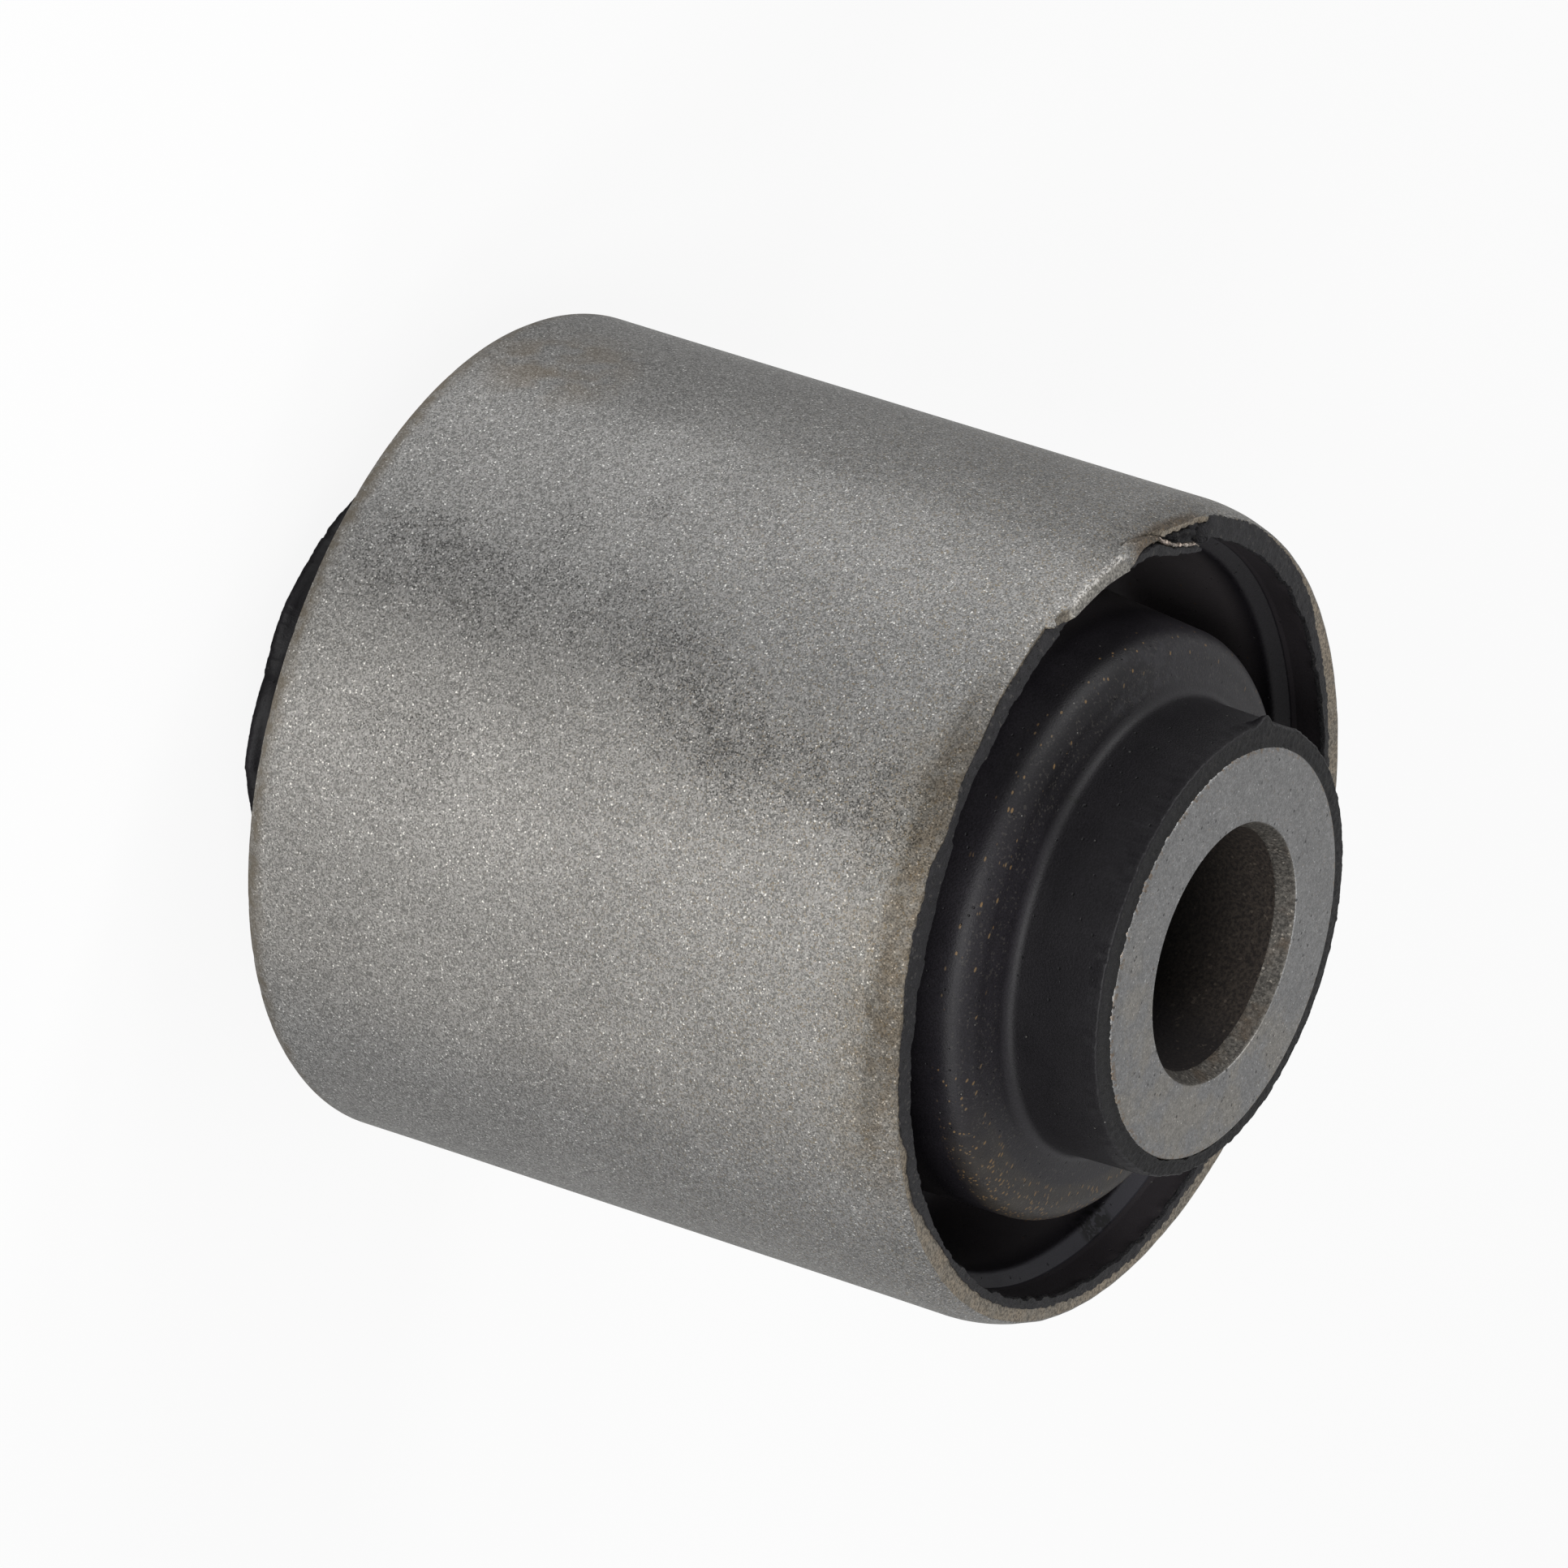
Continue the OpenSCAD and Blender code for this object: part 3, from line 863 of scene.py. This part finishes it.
def moulded_rubber():
    """Satin black rubber with a faint mould grain, pits, dust and ochre flecks."""
    m = Shading("moulded_rubber", 0.0, 0.49, 0.25)
    grain = m.noise(0.12, 2.0, 0.6)
    clouds = m.noise(2.5, 4.0, 0.65)
    distance, chances = m.cells(0.6)
    pit = m.times(m.ramp(distance, 0.17, 0.06), m.ramp(chances[0], 0.6, 0.65))
    dust = m.times(m.ramp(distance, 0.1, 0.05), m.ramp(chances[1], 0.93, 0.95))
    color = m.blend(m.ramp(clouds, 0.3, 0.7), (0.0086, 0.0076, 0.0099), (0.0118, 0.0105, 0.0131))
    color = m.shaded(color, m.ramp(grain, 0.3, 0.7, 0.65, 1.35))
    # Dust lies deep in the grooves and on the outer slope of the shoulders
    groove = m.times(m.ends(-3.2, -5.0), m.ramp(m.radius, 16.5, 17.5))
    dusty = m.times(groove, m.ramp(m.towards(10), -0.2, 0.6, 1.0, 0.5))
    color = m.blend(dusty, color, (0.070, 0.063, 0.066))
    lining = m.times(m.ramp(m.radius, 21.4, 21.8), m.ends(-2.34, -2.28))
    color = m.blend(lining, color, (0.034, 0.030, 0.033))
    # Painted shade: the neck, and the shoulder on the -X side, are made darker than the rest
    neck_shade = m.times(m.ramp(m.radius, 14.3, 13.9), m.ends(0.8, 1.3))
    inside = m.times(m.ends(-3.0, -1.5), m.sector(230, 14, 22), m.ramp(m.radius, 18.4, 17.8))
    color = m.shaded(color, m.less(m.calc("MAXIMUM", neck_shade, inside), 0.45))
    # A painted highlight on the ledge inside the outer sleeve, strongest on the +X side
    ledge_highlight = m.times(m.ends(-3.2, -2.9), m.ends(-2.28, -2.34), m.ramp(m.radius, 20.8, 21.2),
                    m.sector(25, 55, 35))
    color = m.blend(ledge_highlight, color, (0.034, 0.033, 0.040))
    slope = m.times(m.ramp(m.radius, 15.0, 15.6), m.ramp(m.radius, 18.0, 17.7), m.front(-1.8, -0.8))
    film = m.times(slope, m.sector(8, 26, 26), m.ramp(clouds, 0.35, 0.65, 0.3, 0.8))
    color = m.blend(film, color, (0.034, 0.029, 0.023))
    crown = m.times(m.ramp(m.radius, 13.6, 14.4), m.front(-1.0, -0.2))
    _, specks = m.cells(0.12)
    speck = m.times(crown, m.ramp(specks[0], 0.86, 1.0, 0.0, 0.35))
    color = m.blend(speck, color, (0.075, 0.068, 0.06))
    # Scuffs on the shoulder near the tear
    scuff = m.times(m.ramp(m.noise(0.9, 4.0, 0.7), 0.48, 0.62), m.sector(200, 16, 12))
    color = m.layer(color, m.times(scuff, crown), 0.5, (0.026, 0.025, 0.029))
    # Streaks where the neck was trimmed
    streaks = m.noise(1.0, 3.0, 0.65, m.stretched(3.4, 3.4, 0.5))
    trim = m.times(m.front(3.2, 6.0), m.ramp(streaks, 0.45, 0.7), m.sector(232, 26, 20))
    color = m.layer(color, trim, 0.2, (0.024, 0.0235, 0.026))
    color = m.layer(color, pit, 0.6, PIT_BLACK)
    color = m.layer(color, dust, 0.7, (0.2, 0.19, 0.18))
    # The flecks lie in loose clusters on the front shoulder's outer slope, most on the +X side
    share = m.calc("ADD", m.times(m.sector(8, 30, 24), 0.75), m.times(m.sector(275, 45, 25), 0.06))
    share = m.times(share, m.ramp(m.noise(0.9, 2.0), 0.42, 0.6, 0.12, 1.0),
                    m.ramp(m.radius, 15.6, 16.6, 0.45, 1.0))
    fleck_at, fleck_chances = m.cells(0.3, m.stretched(0.6, 1.35, 1.5))
    fleck = m.times(m.ramp(fleck_at, 0.4, 0.24), slope)
    kept = m.calc("GREATER_THAN", m.calc("ADD", fleck_chances[0], share), 0.94)
    tint = m.blend(fleck_chances[2], (0.21, 0.125, 0.05), (0.14, 0.098, 0.055))
    color = m.layer(color, m.times(fleck, kept), 0.8, tint)
    stray = m.times(m.ramp(fleck_at, 0.4, 0.25), groove, m.ramp(fleck_chances[1], 0.985, 0.99))
    color = m.layer(color, stray, 0.6, (0.14, 0.08, 0.03))
    # A dark cut at the neck's foot
    cut = m.times(m.front(0.7, 0.9), m.front(1.6, 1.3), m.sector(245.2, 0.25, 0.5))
    color = m.blend(cut, color, BLACK)
    # Small tears on the ridge
    ragged = m.noise(0.34, 3.0, 0.7, m.stretched(1.0, 1.0, 0.4))
    torn = m.times(m.sector(39, 2.6, 1.6), m.front(-4.0, -3.2), m.front(-2.2, -2.5),
                   m.ramp(m.radius, LINING_R - 0.4, LINING_R), m.ramp(ragged, 0.44, 0.5))
    color = m.layer(color, torn, 0.9, BLACK)
    relief = m.bump(grain, 0.02)
    relief = m.bump(m.less(pit), 0.05, relief)
    return m.finish(color, m.ramp(clouds, 0.3, 0.7, 0.47, 0.51), relief)


def cut_rubber():
    """Rubber where it was trimmed: matt and coarse, with dark pits and a few pale grains."""
    m = Shading("cut_rubber", 0.0, 0.65, 0.34)
    grain = m.noise(0.16, 3.0, 0.65)
    distance, pit_chances = m.cells(0.5)
    pit = m.times(m.ramp(distance, 0.3, 0.18), m.ramp(pit_chances[0], 0.45, 0.5))
    _, chances = m.cells(0.14)
    clouds = m.ramp(m.noise(0.5, 2.0, 0.6), 0.3, 0.7)
    color = m.blend(clouds, (0.0062, 0.0058, 0.0072), (0.0136, 0.0130, 0.0152))
    color = m.blend(m.ramp(grain, 0.5, 0.66, 0.0, 0.85), color, PIT_BLACK)
    color = m.blend(m.ramp(chances[0], 0.94, 0.98, 0.0, 0.5), color, (0.07, 0.065, 0.06))
    # The ring round the inner sleeve is darker than the ones in the outer sleeve
    ring = m.ramp(m.radius, 17.0, 15.0)
    color = m.shaded(color, m.less(ring, 0.6))
    color = m.blend(m.times(pit, m.spread(ring, 0.4, 0.9)), color, BLACK)
    # A dark seam where it meets the inner sleeve's end face
    seam = m.ramp(m.radius, INNER_R + 0.4, INNER_R + 0.05)
    seam = m.times(seam, m.ramp(m.noise(0.3, 3.0, 0.6), 0.4, 0.55))
    color = m.layer(color, seam, 0.85, BLACK)
    return m.finish(color, None, m.bump(m.calc("SUBTRACT", grain, m.times(pit, 0.6)), 0.12))


# Light, floor and camera

def add_camera():
    """A camera at the photograph's viewing angle, rolled as the photograph is."""
    st, ct = math.sin(VIEW_TILT), math.cos(VIEW_TILT)
    ss, cs = math.sin(AXIS_SLOPE), math.cos(AXIS_SLOPE)
    forward = Vector((0, st, -ct))
    right = Vector((-ss, ct * cs, st * cs))
    down = Vector((cs, ct * ss, st * ss))
    distance = FRONT_DISTANCE * SLEEVE_R * MM
    aside = (FRONT_PX[0] - PHOTO_PX / 2) * distance / FOCAL_PX
    below = (FRONT_PX[1] - PHOTO_PX / 2) * distance / FOCAL_PX
    front = Vector((0, 0, FRONT_Z * MM))
    place = front - aside * right - below * down - distance * forward
    data = bpy.data.cameras.new("camera")
    data.sensor_width = SENSOR_MM
    data.lens = SENSOR_MM * FOCAL_PX / PHOTO_PX
    data.clip_end = 10
    camera = add_object("camera", data)
    turn = Matrix((right, -down, -forward)).transposed().to_4x4()
    camera.matrix_world = Matrix.Translation(place) @ turn
    bpy.context.scene.camera = camera


def add_softbox(azimuth, power):
    """A soft light that looks at the middle of the bush."""
    name = f"softbox_{azimuth}"
    data = bpy.data.lights.new(name, "AREA")
    data.shape = "RECTANGLE"
    data.size = SOFTBOX_WIDE
    data.size_y = SOFTBOX_HIGH
    data.energy = power
    lamp = add_object(name, data)
    a, e = math.radians(azimuth), SOFTBOX_ELEVATION
    way = Vector((math.cos(e) * math.cos(a), math.cos(e) * math.sin(a), math.sin(e)))
    lamp.location = way * SOFTBOX_AWAY + Vector((0, 0, MID_Z * MM))
    lamp.rotation_euler = way.to_track_quat("Z", "Y").to_euler()


def seen_share(tree, in_gloss):
    """How much of a backdrop's white shows: all to the camera, in_gloss in a reflection."""
    path = add_node(tree, "LightPath").outputs
    values = (path["Is Glossy Ray"], in_gloss, path["Is Camera Ray"])
    return add_node(tree, "Math", *values, operation="MULTIPLY_ADD").outputs[0]


def add_floor():
    """A plain pale floor. What is seen of it is mostly even white, with a faint shadow."""
    half, low = FLOOR_HALF, -FLOOR_DROP * MM
    mesh = bpy.data.meshes.new("floor")
    corners = [(-half, -half, low), (half, -half, low), (half, half, low), (-half, half, low)]
    mesh.from_pydata(corners, [], [(0, 1, 2, 3)])
    floor = add_object("floor", mesh)
    material = bpy.data.materials.new("floor_white")
    material.use_nodes = True
    tree = material.node_tree
    tree.nodes.clear()
    paint = add_node(tree, "BsdfDiffuse", FLOOR_PAINT).outputs[0]
    # Where it is seen the floor is whiter, mostly of its own light, and the rest takes the shadow
    white = add_node(tree, "BsdfDiffuse", FLOOR_WHITE).outputs[0]
    glow = add_node(tree, "Emission").outputs[0]
    seen = add_node(tree, "MixShader", FLOOR_GLOW, white, glow).outputs[0]
    mix = add_node(tree, "MixShader", seen_share(tree, FLOOR_GLOSS), paint, seen).outputs[0]
    add_node(tree, "OutputMaterial", mix)
    mesh.materials.append(material)


def add_world():
    """Even light from all round, and paler where the camera or a gloss looks past the floor."""
    world = bpy.data.worlds.new("studio")
    bpy.context.scene.world = world
    world.use_nodes = True
    tree = world.node_tree
    tree.nodes.clear()
    soft = add_node(tree, "Background", SKY, SOFT_LIGHT).outputs[0]
    pale = add_node(tree, "Background", SKY, 1.0).outputs[0]
    mix = add_node(tree, "MixShader", seen_share(tree, WORLD_GLOSS), soft, pale).outputs[0]
    add_node(tree, "OutputWorld", mix)


def dress(piece, node):
    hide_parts(node)
    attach(piece, "root")


add_camera()
add_world()
add_floor()
for azimuth, power in SOFTBOXES:
    add_softbox(azimuth, power)

wall_steel = blasted_steel()
end_steel = bare_steel()
strip_steel = peeled_steel()
end_face = face_steel()
chamfer = mouth_steel()
bore_wall = bore_rust()
rubber = moulded_rubber()
trimmed = cut_rubber()

# Outline points at which an end face, chamfer, wall, cut edge or side begins
rear_wall = REAR_FACE_STEPS + 1
front_face = len(sleeve_rear(0)) + WALL_STEPS + LIP_STEPS + 2
inner_face = CHAMFER_STEPS + 1
inner_wall = 2 * len(inner_front(0, 1))
rear_chamfer = inner_wall - CHAMFER_STEPS
rim_edge = len(RIM_CURVE) + 1
neck_side = NECK_RING_STEPS + 3
# The rear neck's outline starts at its side
neck_ring = 6

dress(revolved("outer_sleeve_steel", sleeve_section, SLEEVE_TURNS, [wall_steel, end_steel],
               [(0, 1), (rear_wall, 0), (front_face, 1)]), "outer_sleeve")
dress(torn_strip([wall_steel, strip_steel]), "outer_sleeve")

dress(revolved("inner_sleeve_steel", inner_section, BODY_TURNS, [end_face, chamfer, bore_wall],
               [(0, 1), (inner_face, 0), (rear_chamfer, 1), (inner_wall, 2)]),
      "inner_sleeve")

both = [rubber, trimmed]
for piece in (
    revolved("rubber_moulding", rubber_section, BODY_TURNS, [rubber]),
    revolved("front_rim", rim_section, FRONT_RIM_TURNS, both, [(0, 0), (rim_edge, 1)]),
    revolved("rear_rim", rear_rim_section, REAR_RIM_TURNS, [trimmed]),
    revolved("front_neck_end", front_neck_section, NECK_TURNS, [trimmed, rubber],
             [(0, 0), (neck_side, 1)]),
    revolved("rear_neck_end", rear_neck_section, NECK_TURNS, both, [(0, 0), (neck_ring, 1)]),
):
    dress(piece, "rubber_body")

bpy.context.scene.view_settings.view_transform = "Standard"
